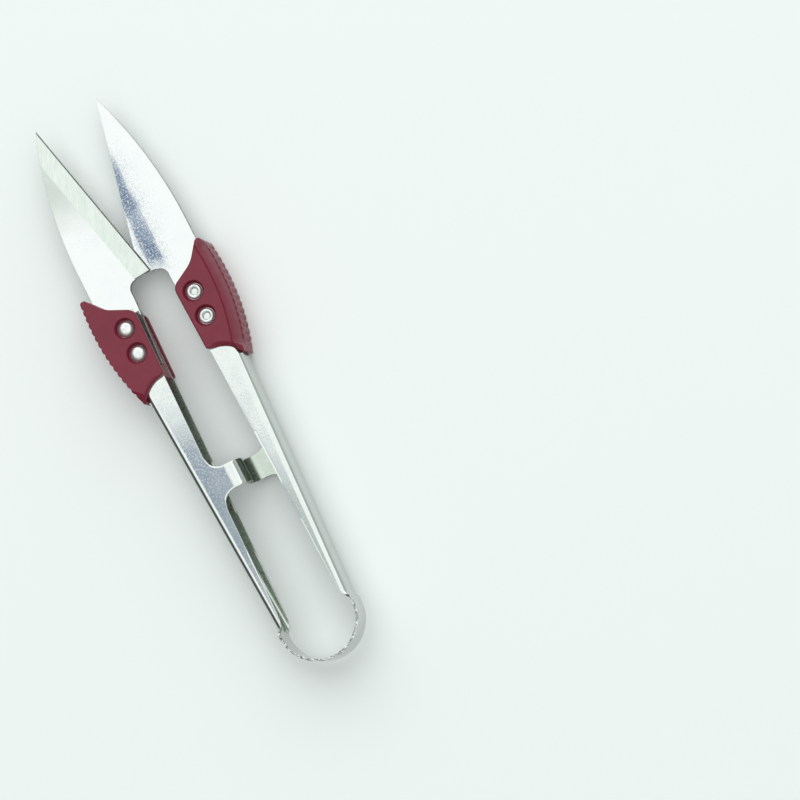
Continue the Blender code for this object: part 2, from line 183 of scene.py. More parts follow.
# The drilled end of the tail: shares of the bore's radius and how deep they lie.
RIVET_CONE = ((0.9, 0.0011), (0.45, 0.0016), (0, 0.0018))


def place_of(node):
    """Centre in plan, head radius, and lowest and highest point of a rivet in the frame."""
    low, high = local_box(node)
    centre = (low + high) / 2
    return centre, (high.x - low.x) / 2, low.z, high.z


def smooth(value):
    """A smooth ramp that stays 0 below 0 and 1 above 1."""
    value = min(max(value, 0), 1)
    return value * value * (3 - 2 * value)


# Mesh helpers.


def mesh_object(name, mesh):
    made = bpy.data.objects.new(name, mesh)
    bpy.context.scene.collection.objects.link(made)
    return made


def grid_mesh(name, places, quads):
    """A mesh from places {key: point} and quads of four keys."""
    index = {key: number for number, key in enumerate(places)}
    mesh = bpy.data.meshes.new(name)
    faces = [[index[key] for key in quad] for quad in quads]
    mesh.from_pydata([tuple(point) for point in places.values()], [], faces)
    return mesh


def grid_quads(places, columns, rows):
    """Quads between neighbouring keys (column, row) wherever all four corners have a place."""
    quads = []
    for column in columns:
        for row in rows:
            corners = ((column, row), (column, row + 1), (column + 1, row + 1), (column + 1, row))
            if all(corner in places for corner in corners):
                quads.append(corners)
    return quads


def baked(shape):
    """The evaluated mesh of an object, welded, with its normals facing out."""
    bpy.context.view_layer.update()
    evaluated = shape.evaluated_get(bpy.context.evaluated_depsgraph_get())
    mesh = bpy.data.meshes.new_from_object(evaluated)
    mesh.transform(shape.matrix_world)
    work = bmesh.new()
    work.from_mesh(mesh)
    bmesh.ops.remove_doubles(work, verts=work.verts, dist=0.000001)
    bmesh.ops.recalc_face_normals(work, faces=work.faces)
    work.to_mesh(mesh)
    work.free()
    return mesh


def arc(centre, radius, start, end, steps):
    """Points along a circular arc, both ends included."""
    points = []
    for step in range(steps + 1):
        angle = start + (end - start) * step / steps
        points.append(Vector((centre[0] + radius * math.cos(angle), centre[1] + radius * math.sin(angle))))
    return points


def rounded(corners, steps=8):
    """A closed outline through corners (point, radius), each corner rounded to its radius."""
    points = []
    for index, (corner, radius) in enumerate(corners):
        corner = Vector(corner)
        if radius == 0:
            points.append(corner)
            continue
        before = (Vector(corners[index - 1][0]) - corner).normalized()
        after = (Vector(corners[(index + 1) % len(corners)][0]) - corner).normalized()
        half_angle = before.angle(after) / 2
        centre = corner + (before + after).normalized() * radius / math.sin(half_angle)
        first = corner + before * radius / math.tan(half_angle) - centre
        turn = (math.pi - 2 * half_angle) * (1 if before.cross(after) < 0 else -1)
        start = math.atan2(first.y, first.x)
        points += arc(centre, radius, start, start + turn, steps)
    return points


def extruded(name, outline, low, high):
    """A flat outline given a thickness from low to high along Z."""
    curve = bpy.data.curves.new(name, "CURVE")
    curve.dimensions = "2D"
    curve.fill_mode = "BOTH"
    curve.extrude = (high - low) / 2
    spline = curve.splines.new("POLY")
    spline.points.add(len(outline) - 1)
    for point, place in zip(spline.points, outline):
        point.co = (place[0], place[1], 0, 1)
    spline.use_cyclic_u = True
    sketch = bpy.data.objects.new(name + "_sketch", curve)
    sketch.location.z = (low + high) / 2
    bpy.context.scene.collection.objects.link(sketch)
    solid = mesh_object(name, baked(sketch))
    bpy.data.objects.remove(sketch)
    return solid


def tube(name, rings):
    """A closed solid skinned over rings of points, with the first and last ring filled."""
    count = len(rings[0])
    points = [tuple(point) for ring in rings for point in ring]
    faces = [list(range(count)), list(range(len(points) - 1, len(points) - count - 1, -1))]
    for row in range(len(rings) - 1):
        for step in range(count):
            following = (step + 1) % count
            start = row * count
            faces.append([start + following, start + step, start + count + step, start + count + following])
    mesh = bpy.data.meshes.new(name)
    mesh.from_pydata(points, [], faces)
    work = bmesh.new()
    work.from_mesh(mesh)
    bmesh.ops.recalc_face_normals(work, faces=work.faces)
    work.to_mesh(mesh)
    work.free()
    return mesh_object(name, mesh)


def cut(solid, cutters):
    """Subtract the cutters from the solid, keep the result and remove the cutters."""
    for cutter in cutters:
        boolean = solid.modifiers.new(cutter.name, "BOOLEAN")
        boolean.operation = "DIFFERENCE"
        boolean.solver = "EXACT"
        boolean.object = cutter
    mesh = baked(solid)
    solid.modifiers.clear()
    solid.data = mesh
    for cutter in cutters:
        bpy.data.objects.remove(cutter)


def break_edges(solid, width, degrees, material=-1):
    """A small rounding on every edge sharper than the angle, kept as a modifier."""
    bevel = solid.modifiers.new("edge_break", "BEVEL")
    bevel.width = width
    bevel.segments = 2
    bevel.limit_method = "ANGLE"
    bevel.angle_limit = math.radians(degrees)
    bevel.material = material
    bevel.use_clamp_overlap = True
    bevel.miter_outer = "MITER_ARC"


def finish_mesh(solid, sharp_degrees):
    """Apply what is left on the stack and shade the mesh, with creases where it turns sharply.

    Large faces lead the shading of the small ones beside them, so flats stay flat.
    """
    mesh = baked(solid)
    solid.modifiers.clear()
    mesh.shade_smooth()
    mesh.set_sharp_from_angle(angle=math.radians(sharp_degrees))
    solid.data = mesh
    weighted = solid.modifiers.new("weighted_normals", "WEIGHTED_NORMAL")
    weighted.keep_sharp = True
    bpy.context.view_layer.update()
    evaluated = solid.evaluated_get(bpy.context.evaluated_depsgraph_get())
    mesh = bpy.data.meshes.new_from_object(evaluated)
    solid.modifiers.clear()
    solid.data = mesh
    return solid


# The sheet-metal frame.

WEB_ROWS = 5
BEND_ROWS = 7
FLANGE_ROWS = 5
EDGE_ROW = WEB_ROWS + BEND_ROWS + FLANGE_ROWS
TAB_STEPS = 16
FRONT_STEPS = 18


class Station:
    """A cross-section of the strip: where it is, which way it runs, and how far it is folded."""

    def __init__(self, place, heading, beyond_root):
        self.place = place
        self.heading = heading
        self.inward = Vector((heading.y, -heading.x))
        self.beyond_root = beyond_root
        self.fold = smooth((beyond_root + KINK_REACH) / (KINK_REACH + FLANGE_START))
        self.has_flange = beyond_root >= FLANGE_START


def bow_stations(steps=48):
    """From the back of the bow round to where the kink into the arm begins."""
    end = math.pi / 2 + math.asin((ARM_ROOT.y - BOW_RADIUS) / BOW_RADIUS) - KINK_REACH / BOW_RADIUS
    stations = []
    for step in range(steps + 1):
        angle = end * step / steps
        place = Vector((-math.sin(angle), 1 - math.cos(angle))) * BOW_RADIUS
        beyond_root = -KINK_REACH - BOW_RADIUS * (end - angle)
        stations.append(Station(place, Vector((-math.cos(angle), math.sin(angle))), beyond_root))
    return stations


def kink_stations(first, steps=6):
    """The soft kink between the end of the bow and the straight arm."""
    last = ARM_ROOT + ARM_ALONG * KINK_REACH
    stations = []
    for step in range(1, steps):
        share = step / steps
        before = first.place.lerp(ARM_ROOT, share)
        after = ARM_ROOT.lerp(last, share)
        heading = (after - before).normalized()
        stations.append(Station(before.lerp(after, share), heading, KINK_REACH * (2 * share - 1)))
    return stations


def flange_edge_x(y):
    """Inner edge of the left arm's flanges."""
    share = (y - FLANGE_ROOT.y) / (ARM_FRONT.y - FLANGE_ROOT.y)
    return FLANGE_ROOT.x + (FLANGE_FRONT_X - FLANGE_ROOT.x) * share


def arm_distances():
    """Distances beyond the root at which the arm has a cross-section, finer at its ends and tab."""
    tab_reach = HOOK_WIDTH / 2 + HOOK_FILLET
    tab_middle = (HOOK_Y - ARM_ROOT.y) / ARM_ALONG.y
    distances = [KINK_REACH + step * ROOT_SPACING for step in range(11)]
    while distances[-1] < tab_middle - tab_reach - 0.002:
        distances.append(distances[-1] + ARM_SPACING)
    distances += [tab_middle + tab_reach * (2 * step / TAB_STEPS - 1) for step in range(TAB_STEPS + 1)]
    last = distances[-1]
    distances += [last + (ARM_LENGTH - last) * step / FRONT_STEPS for step in range(1, FRONT_STEPS + 1)]
    return distances


def sheet_point(station, row):
    """A point on the outer face of the strip; rows count up and down from its middle."""
    level = abs(row)
    straight = HALF_STRIP - BEND_RADIUS
    along = 0
    if level <= WEB_ROWS:
        inward = 0
        height = straight * level / WEB_ROWS
    elif level <= WEB_ROWS + BEND_ROWS:
        share = (level - WEB_ROWS) / BEND_ROWS
        angle = share * math.pi / 2
        inward = BEND_RADIUS * (1 - math.cos(angle)) * station.fold
        flat_height = BEND_RADIUS * share
        height = straight + flat_height + (BEND_RADIUS * math.sin(angle) - flat_height) * station.fold
    else:
        share = (level - WEB_ROWS - BEND_ROWS) / FLANGE_ROWS
        edge = (flange_edge_x(station.place.y) - station.place.x) / station.inward.x
        inward = BEND_RADIUS + (edge - BEND_RADIUS) * share
        height = HALF_STRIP
        fade = max(0, 1 - (station.beyond_root - FLANGE_START) / FLANGE_SLANT_FADE)
        along = FLANGE_SLANT * share * fade
    plan = station.place + station.inward * inward + station.heading * along
    return Vector((plan.x, plan.y, math.copysign(height, row)))


def tab_half_width(run, length):
    """Half the width of the hook's tab at a distance from the flange's edge."""
    half = HOOK_WIDTH / 2
    if run < HOOK_FILLET:
        half += HOOK_FILLET - math.sqrt(HOOK_FILLET ** 2 - (HOOK_FILLET - run) ** 2)
    left = length - run
    if left < HOOK_CORNER:
        half -= HOOK_CORNER - math.sqrt(HOOK_CORNER ** 2 - (HOOK_CORNER - left) ** 2)
    return half


def tab_profile(edge_x):
    """The tab in section: flat, a quarter turn down and the lip, as (x, z, distance run)."""
    bend_x = HOOK_FACE_X - HOOK_BEND
    bend_z = HALF_STRIP - HOOK_BEND
    flat = bend_x - edge_x
    quarter = HOOK_BEND * math.pi / 2
    flat_steps, bend_steps, lip_steps = 8, 16, 8
    profile = [(edge_x + flat * step / flat_steps, HALF_STRIP, flat * step / flat_steps)
               for step in range(1, flat_steps + 1)]
    for step in range(1, bend_steps + 1):
        angle = math.pi / 2 * step / bend_steps
        x = bend_x + HOOK_BEND * math.sin(angle)
        profile.append((x, bend_z + HOOK_BEND * math.cos(angle), flat + HOOK_BEND * angle))
    drop = bend_z + HOOK_DROP
    for step in range(1, lip_steps + 1):
        share = math.sin(math.pi / 2 * step / lip_steps)
        profile.append((HOOK_FACE_X, bend_z - drop * share, flat + quarter + drop * share))
    return profile


def add_tab(places, quads, tab_columns):
    """The stop hook: a tab off the top flange's edge that curls down into a lip."""
    reach = HOOK_WIDTH / 2 + HOOK_FILLET
    edges = [places[column, EDGE_ROW] for column in tab_columns]
    middle_y = (edges[0].y + edges[-1].y) / 2
    rows = 0
    for number, (column, edge) in enumerate(zip(tab_columns, edges)):
        side = 2 * number / TAB_STEPS - 1
        profile = tab_profile(edge.x)
        rows = len(profile)
        for row, (x, z, run) in enumerate(profile, 1):
            half = tab_half_width(run, profile[-1][2])
            from_edge = (edge.y - middle_y) / reach
            spread = side if run > HOOK_FILLET else from_edge
            places[column, EDGE_ROW + row] = Vector((x, middle_y + half * spread, z))
    for column, following in zip(tab_columns, tab_columns[1:]):
        for row in range(EDGE_ROW, EDGE_ROW + rows):
            quads.append(((column, row), (column, row + 1), (following, row + 1), (following, row)))


def build_frame_half(name):
    """Half the bow and one arm with its stop hook, bent from one strip."""
    bow = bow_stations()
    stations = bow + kink_stations(bow[-1])
    distances = arm_distances()
    stations += [Station(ARM_ROOT + ARM_ALONG * far, ARM_ALONG, far) for far in distances]
    places = {}
    for column, station in enumerate(stations):
        reach = EDGE_ROW if station.has_flange else WEB_ROWS + BEND_ROWS
        for row in range(-reach, reach + 1):
            places[column, row] = sheet_point(station, row)
    quads = grid_quads(places, range(len(stations) - 1), range(-EDGE_ROW, EDGE_ROW))
    tab_end = len(stations) - FRONT_STEPS
    add_tab(places, quads, list(range(tab_end - TAB_STEPS - 1, tab_end)))
    half = mesh_object(name, grid_mesh(name, places, quads))
    sheet = half.modifiers.new("sheet", "SOLIDIFY")
    sheet.thickness = SHEET
    sheet.offset = -1
    sheet.use_even_offset = True
    sheet.use_rim = True
    sheet.material_offset_rim = 1
    # The inner shell takes the darker olive steel: painted shade inside the channel (the bow's part is set
    # back below).
    sheet.material_offset = 3
    for look in (steel_look, sheared_look, burnished_look, shaded_inside_look):
        half.data.materials.append(look)
    break_edges(half, EDGE_BREAK, 50)
    finish_mesh(half, 32)
    # The edges that face up and down are torn; those of the flanges and the tab are rubbed bright.
    # The bow keeps the polished steel on its inner face; the inside of the arm gets the darker olive steel,
    # painted shade.
    for face in half.data.polygons:
        if face.material_index == 1 and abs(face.normal.z) < 0.7:
            face.material_index = 2
        elif face.material_index == 3 and face.center.y < ARM_ROOT.y:
            face.material_index = 0
    return half


# The blades.


def edge_frame():
    """Direction of the cutting edge from heel to tip, and the direction across it to the spine."""
    along = (TIP - HEEL).normalized()
    return along, Vector((-along.y, along.x))


def spine_x(y):
    """Outer side of the blade: straight behind its tangent point, bowed inwards to the tip."""
    return SPINE_X + max(0, y - SPINE_TANGENT_Y) ** 2 / (2 * SPINE_RADIUS)


def bevel_height(distance):
    """Height of the outer face above the flat side: a honed strip at the edge, then the bevel."""
    if distance < HONED_WIDTH:
        return EDGE_LAND + HONED_RISE * distance / HONED_WIDTH
    share = min((distance - HONED_WIDTH) / (BEVEL_WIDTH - HONED_WIDTH), 1)
    hollow = BEVEL_HOLLOW * 4 * share * (1 - share)
    start = EDGE_LAND + HONED_RISE
    return start + (BLADE_THICKNESS - start) * (share - hollow)


def neck_inner_x(y):
    """Inner side of the neck behind the heel: the round of the notch, then straight to the tang."""
    round_y = NOTCH.y - NOTCH_RADIUS
    if y > round_y:
        reach = math.sqrt(max(0, NOTCH_RADIUS ** 2 - (y - round_y) ** 2))
        return NOTCH.x + NOTCH_RADIUS - reach
    if y > NECK_START_Y:
        return NOTCH.x
    share = (NECK_START_Y - y) / (NECK_START_Y - BLADE_LOW.y)
    return NOTCH.x + (TANG_INNER_X - NOTCH.x) * share


def neck_outer_x(y):
    """Outer side of the neck and tang, which steps in at the shoulder to clear the arm's web."""
    web_x = ARM_ROOT.x + (y - ARM_ROOT.y) * ARM_ALONG.x / ARM_ALONG.y + 2 * SHEET
    return SPINE_X + (web_x - SPINE_X) * smooth((TANG_SHOULDER_Y + SHOULDER_FADE - y) / SHOULDER_FADE)


def build_blade(name):
    """One blade with its ground bevel, neck and tang, as a slab with shaped faces."""
    across = edge_frame()[1]
    bevel_rows, flat_rows = 8, 6
    blade_steps, neck_steps = 60, 40
    places = {}
    for column in range(blade_steps + 1):
        share = column / blade_steps
        edge = HEEL.lerp(TIP, 1 - (1 - share) ** 1.3)
        # The section runs across the edge at the tip and turns to follow the heel at the neck.
        heel_turn = smooth(1 - share * 4)
        heel_way = (NOTCH - HEEL).normalized()
        way = across.lerp(heel_way, heel_turn).normalized()
        low, high = 0, SPINE_RADIUS
        for _ in range(50):
            middle = (low + high) / 2
            point = edge + way * middle
            if point.x > spine_x(point.y):
                low = middle
            else:
                high = middle
        width = low
        bevel = min(BEVEL_WIDTH / way.dot(across), width)
        honed = min(HONED_WIDTH / way.dot(across), bevel / 2)
        for row in range(bevel_rows + flat_rows + 1):
            if row == 0:
                distance = 0
            elif row <= bevel_rows:
                distance = honed + (bevel - honed) * (row - 1) / (bevel_rows - 1)
            else:
                distance = bevel + (width - bevel) * (row - bevel_rows) / flat_rows
            plan = edge + way * distance
            places[column, row] = (plan, bevel_height((plan - HEEL).dot(across)))
    first_row = [places[0, bevel_rows + step][0] for step in range(flat_rows + 1)]
    for column in range(1, neck_steps + 1):
        share = column / neck_steps
        fall = share ** 1.6
        for step in range(flat_rows + 1):
            start = first_row[step]
            y = start.y + (BLADE_LOW.y - start.y) * fall
            inner = neck_inner_x(min(y, NOTCH.y))
            outer = neck_outer_x(y)
            x = inner + (outer - inner) * step / flat_rows
            settle = smooth(share * 12)
            x = start.x + (x - start.x) * settle if step else inner
            places[-column, bevel_rows + step] = (Vector((x, y)), BLADE_THICKNESS)
    columns = range(-neck_steps, blade_steps)
    return slab(name, places, grid_quads(places, columns, range(bevel_rows + flat_rows)))


def slab(name, places, quads):
    """A closed solid from plan places: a shaped outer face, a flat back and walls between."""
    work = bmesh.new()
    tops = {}
    backs = {}
    for key, (plan, height) in places.items():
        tops[key] = work.verts.new((plan.x, plan.y, BLADE_LOW.z + height))
        backs[key] = work.verts.new((plan.x, plan.y, BLADE_LOW.z))
    for quad in quads:
        work.faces.new([tops[key] for key in quad])
        work.faces.new([backs[key] for key in reversed(quad)])
    sides = {}
    for quad in quads:
        for start, end in zip(quad, quad[1:] + quad[:1]):
            if (end, start) in sides:
                del sides[end, start]
            else:
                sides[start, end] = True
    for start, end in sides:
        work.faces.new([tops[end], tops[start], backs[start], backs[end]])
    bmesh.ops.remove_doubles(work, verts=work.verts, dist=0.00002)
    bmesh.ops.dissolve_degenerate(work, edges=work.edges, dist=0.000005)
    bmesh.ops.recalc_face_normals(work, faces=work.faces)
    # Walls and the honed strip take the near-black steel, painted shade for a dark line round the blade;
    # the rest of the bevel takes the ground steel.
    across = edge_frame()[1]
    for face in work.faces:
        centre = face.calc_center_median()
        from_edge = (Vector(centre.xy) - HEEL).dot(across)
        if abs(face.normal.z) < 0.5:
            face.material_index = 2
        elif face.normal.z > 0 and from_edge < BEVEL_WIDTH and centre.y > NOTCH.y:
            face.material_index = 1 if from_edge > HONED_WIDTH * 0.9 else 2
    mesh = bpy.data.meshes.new(name)
    work.to_mesh(mesh)
    work.free()
    blade = mesh_object(name, mesh)
    for look in (polished_look, ground_look, painted_shade_edge_look):
        mesh.materials.append(look)
    # The rounded edges take the near-black steel too: painted shade.
    break_edges(blade, BLADE_BREAK, 60, material=2)
    return finish_mesh(blade, 7)


# The grips.


def grip_side_x(y):
    """Bowed outer side of the left grip, without its ribs."""
    return GRIP_WIDEST.x + (y - GRIP_WIDEST.y) ** 2 / (2 * GRIP_SIDE_RADIUS)


def rib_recess(y, share):
    """How far the outer side lies inside the ribs' crests; share is 1 where the ribs are whole."""
    wave = abs(math.sin(math.pi * (y - RIB_START_Y) / RIB_PITCH))
    inside = min(y - RIB_START_Y, RIB_END_Y - y) + RIB_PITCH / 2
    return RIB_DEPTH * (1 - wave * share) * smooth(2 * inside / RIB_PITCH)


class RimPoint:
    """A point of the grip's outline, with how its edges are rounded below and above."""

    def __init__(self, place, low_round, high_round, low_rise=None, is_side=False):
        self.place = place
        self.low_round = low_round
        self.low_rise = low_rise or low_round
        self.high_round = high_round
        self.is_side = is_side
        self.outward = None

    def moved(self, inset, height, rib_share):
        """Where the point lies at a height, set in from the crests."""
        if self.is_side:
            inset += rib_recess(self.place.y, rib_share)
        plan = self.place - self.outward * inset
        return Vector((plan.x, plan.y, height))


def side_points():
    """The line through the ribs' crests, from the top of the grip down to its horn."""
    steps = 8
    high_y = GRIP_TOP_Y - GRIP_TOP_ROUND
    low_y = GRIP_HORN.y + GRIP_HORN_ROUND
    heights = [RIB_START_Y + RIB_PITCH * step / steps
               for step in range(RIB_COUNT * steps + steps // 2, -steps // 2 - 1, -1)]
    heights = [high_y, *(y for y in heights if low_y < y < high_y), low_y]
    return [Vector((grip_side_x(y), y)) for y in heights]


def grip_rim():
    """Outer side, horn, arch, inner side and swept top edge of the left grip."""
    side = side_points()
    arch = arc(GRIP_ARCH_CENTRE, GRIP_ARCH_RADIUS, *GRIP_ARCH_SPAN, 16)
    ends = rounded([
        (side[-1], 0),
        (GRIP_HORN, 0.0003),
        (arch[0], 0),
        (arch[-1], 0),
        (GRIP_LOW_CORNER, 0.00055),
        (GRIP_HIGH_CORNER, 0.0022),
        (GRIP_SWEEP_CORNER, 0.0060),
        ((GRIP_TOP_CORNER_X, GRIP_TOP_Y), 0.00055),
        ((grip_side_x(GRIP_TOP_Y), GRIP_TOP_Y), 0.00055),
        (side[0], 0),
    ])
    arch_at = ends.index(arch[0])
    rim = [
        RimPoint(point, GRIP_SHOULDER, GRIP_RIM, GRIP_SHOULDER_RISE, is_side=True) for point in side[:-1]
    ]
    rim += [RimPoint(point, GRIP_RIM, GRIP_RIM) for point in ends[:arch_at]]
    rim += [RimPoint(point, GRIP_ARCH_ROUND, GRIP_ARCH_ROUND) for point in arch[:-1]]
    rim += [RimPoint(point, GRIP_RIM, GRIP_RIM) for point in ends[arch_at + 1:-1]]
    for before, point, after in zip(rim[-1:] + rim[:-1], rim, rim[1:] + rim[:1]):
        along = (after.place - before.place).normalized()
        point.outward = Vector((along.y, -along.x))
    soften_rounding(rim, ROUNDING_REACH)
    return rim


def soften_rounding(rim, reach):
    """Let the rounding change gradually along the outline, within about reach metres."""
    softened = []
    for point in rim:
        shares = [math.exp(-((other.place - point.place).length / reach) ** 2) for other in rim]
        roundings = [(other.low_round, other.low_rise, other.high_round) for other in rim]
        weighted = zip(*([share * value for value in row] for share, row in zip(shares, roundings)))
        softened.append([sum(column) / sum(shares) for column in weighted])
    for point, (low, rise, high) in zip(rim, softened):
        point.low_round = low
        point.low_rise = rise
        point.high_round = high


def grip_rings(rim):
    """The grip's walls from its lower face to its upper face, as rings of points."""
    rows = 6
    angles = [math.pi / 2 * step / rows for step in range(rows + 1)]
    rings = []
    for angle in angles:
        share = 2 * angle / math.pi
        rise = 1 - math.cos(angle) + SHOULDER_FLATNESS * (share - 1 + math.cos(angle))
        inset = 1 - math.sin(angle) + SHOULDER_FLATNESS * (math.sin(angle) - share)
        rings.append([
            point.moved(point.low_round * inset, -HALF_GRIP + point.low_rise * rise, 0) for point in rim
        ])
    for angle in angles:
        height = RIB_LOW_Z - RIB_DOME * math.cos(angle)
        rings.append([point.moved(0, height, math.sin(angle)) for point in rim])
    for angle in angles:
        drop = 1 - math.sin(angle)
        inset = 1 - math.cos(angle)
        rings.append([
            point.moved(point.high_round * inset, HALF_GRIP - point.high_round * drop, 1) for point in rim
        ])
    return rings


def channel_block(name, grow, front_y):
    """Solid block over the arm's outer faces, grown by a clearance, with its bends rounded."""
    shift = grow / ARM_ALONG.y
    root_x = ARM_ROOT.x - shift
    front_x = ARM_ROOT.x + (front_y - ARM_ROOT.y) * ARM_ALONG.x / ARM_ALONG.y - shift
    outline = [(root_x, ARM_ROOT.y), (0, ARM_ROOT.y), (0, front_y), (front_x, front_y)]
    half = HALF_STRIP + grow
    block = extruded(name, outline, -half, half)
    work = bmesh.new()
    work.from_mesh(block.data)
    near = 0.00001
    bends = []
    for edge in work.edges:
        first, second = (vert.co for vert in edge.verts)
        if max(first.x, second.x) < root_x + near and abs(first.z - second.z) < near:
            bends.append(edge)
    width = BEND_RADIUS + grow
    bmesh.ops.bevel(
        work, geom=bends, offset=width, segments=6, profile=0.5, affect="EDGES", clamp_overlap=True
    )
    work.to_mesh(block.data)
    work.free()
    return block


def border_cutter():
    """Groove and sloping border that follow the outer side on the grip's lower face."""
    face = -HALF_GRIP
    # Reach outwards from the groove and height: the groove, its lip and the slope to the side.
    section = [
        (-0.00020, face - 0.0001),
        (-0.00020, face),
        (0, face + 0.00020),
        (0.00018, face + 0.00004),
        (0.00105, face + 0.00016),
        (0.0040, face + 0.0012),
        (0.0040, face - 0.0010),
    ]
    low_y = GRIP_HORN.y - 0.002
    high_y = GRIP_TOP_Y + 0.002
    steps = 24
    rings = []
    for step in range(steps + 1):
        y = low_y + (high_y - low_y) * step / steps
        along = Vector(((y - GRIP_WIDEST.y) / GRIP_SIDE_RADIUS, 1)).normalized()
        outward = Vector((-along.y, along.x))
        groove = Vector((grip_side_x(y), y)) - outward * GROOVE_INSET
        rings.append([Vector((*(groove + outward * reach), z)) for reach, z in section])
    return tube("border", rings)


def horn_cutter(side):
    """A wedge that slopes the flat of the horn down to its tip, on the upper or lower face."""
    length = 0.008
    fall = length * math.tan(HORN_FACET_SLOPE)
    across = Vector((-HORN_FACET_WAY.y, HORN_FACET_WAY.x))
    rings = []
    for reach in (-length, length):
        corner = HORN_FACET + across * reach
        far = corner + HORN_FACET_WAY * length
        rings.append([
            Vector((*corner, side * HALF_GRIP)),
            Vector((*far, side * (HALF_GRIP - fall))),
            Vector((*far, side * (HALF_GRIP + length))),
            Vector((*corner, side * (HALF_GRIP + length))),
        ])
    return tube("horn_slope", rings)


def rivet_hole(centre, floor_radius, side):
    """A moulded hole that closes in around the rivet where it meets the flange."""
    # Radius and height, from the flange out to the grip's face and beyond.
    section = [
        (floor_radius, HALF_STRIP - 0.0001),
        (floor_radius, HALF_STRIP + 0.00012),
        ((floor_radius + GRIP_HOLE) / 2, HALF_STRIP + 0.0002),
        (GRIP_HOLE - 0.00006, HALF_STRIP + 0.0005),
        (GRIP_HOLE, HALF_GRIP - 0.00012),
        (GRIP_HOLE + 0.00012, HALF_GRIP),
        (GRIP_HOLE + 0.00012, HALF_GRIP + 0.001),
    ]
    rings = []
    for radius, height in section:
        circle = arc(centre, radius, 0, math.tau, 48)[:-1]
        rings.append([Vector((point.x, point.y, side * height)) for point in circle])
    return tube("grip_hole", rings)


def build_grip(name):
    """A moulded grip over the front of the arm, with ribs on its outer side."""
    grip = tube(name, grip_rings(grip_rim()))
    cut(grip, [border_cutter(), horn_cutter(1), horn_cutter(-1)])
    slot_front = ARM_FRONT.y + GRIP_FIT
    slot = channel_block("arm_slot", GRIP_FIT, slot_front)
    core_inset = SHEET + GRIP_FIT
    core = channel_block("slot_core", -core_inset, slot_front + 0.004)
    recess = extruded(
        "inner_recess",
        [
            (GRIP_LOW_CORNER.x - GRIP_RECESS, 0.0),
            (0.01, 0.0),
            (0.01, 0.1),
            (GRIP_HIGH_CORNER.x - GRIP_RECESS, 0.1),
            (GRIP_HIGH_CORNER.x - GRIP_RECESS, GRIP_HIGH_CORNER.y),
        ],
        -HALF_STRIP, HALF_STRIP,
    )
    cut(slot, [core])
    holes = []
    for node in RIVET_NODES:
        centre, head_radius = place_of("left_" + node)[:2]
        holes.append(rivet_hole(centre, head_radius + 0.00002, 1))
        holes.append(rivet_hole(centre, RIVET_TAIL + 0.00006, -1))
    tang = extruded(
        "tang_slot",
        [
            (neck_outer_x(BLADE_LOW.y) - GRIP_FIT, BLADE_LOW.y - GRIP_FIT),
            (0.0, BLADE_LOW.y - GRIP_FIT),
            (0.0, LENGTH),
            (SPINE_X - GRIP_FIT, LENGTH),
            (SPINE_X - GRIP_FIT, TANG_SHOULDER_Y - GRIP_FIT),
            (neck_outer_x(TANG_SHOULDER_Y - GRIP_FIT) - GRIP_FIT, TANG_SHOULDER_Y - GRIP_FIT),
        ],
        BLADE_LOW.z - GRIP_FIT, BLADE_HIGH.z + GRIP_FIT,
    )
    cut(grip, [slot, recess, tang, *holes])
    grip.data.materials.clear()
    grip.data.materials.append(plastic_look)
    break_edges(grip, GRIP_BREAK, 62)
    return finish_mesh(grip, 28)


# The rivets.


def turned(name, profile, steps=56):
    """A solid of revolution about Z from a half section of (radius, height) points."""
    places = {}
    quads = []
    for turn in range(steps):
        angle = math.tau * turn / steps
        for row, (radius, height) in enumerate(profile):
            places[turn, row] = Vector((radius * math.cos(angle), radius * math.sin(angle), height))
    for turn in range(steps):
        following = (turn + 1) % steps
        for row in range(len(profile) - 1):
            quads.append(((turn, row), (turn, row + 1), (following, row + 1), (following, row)))
    return mesh_object(name, grid_mesh(name, places, quads))


def rivet_profile(head_radius, low, high):
    """Domed head, shank and rolled hollow tail of a semi-tubular rivet."""
    seat = HALF_STRIP + 0.00001
    rise = high - seat - RIVET_SKIRT
    profile = []
    dome_steps, roll_steps = 14, 16
    for step in range(dome_steps + 1):
        share = math.sin(math.pi / 2 * step / dome_steps)
        profile.append((head_radius * share, high - rise * share ** DOME_FULLNESS))
    profile += [(head_radius, seat + 0.00004), (head_radius - 0.00004, seat)]
    profile += [(RIVET_SHANK, seat), (RIVET_SHANK, -seat)]
    roll = (RIVET_TAIL - RIVET_BORE) / 2
    drop = -seat - low
    for step in range(roll_steps + 1):
        angle = math.pi * step / roll_steps
        profile.append((RIVET_BORE + roll + roll * math.cos(angle), -seat - drop * math.sin(angle) ** 0.8))
    profile += [(RIVET_BORE * share, low + depth) for share, depth in RIVET_CONE]
    return profile


def build_rivet(name, node):
    centre, head_radius, low, high = place_of(node)
    rivet = turned(name, rivet_profile(head_radius, low, high))
    rivet.data.transform(Matrix.Translation((centre.x, centre.y, 0)))
    rivet.data.materials.append(rivet_look)
    return finish_mesh(rivet, 30)


# Materials.


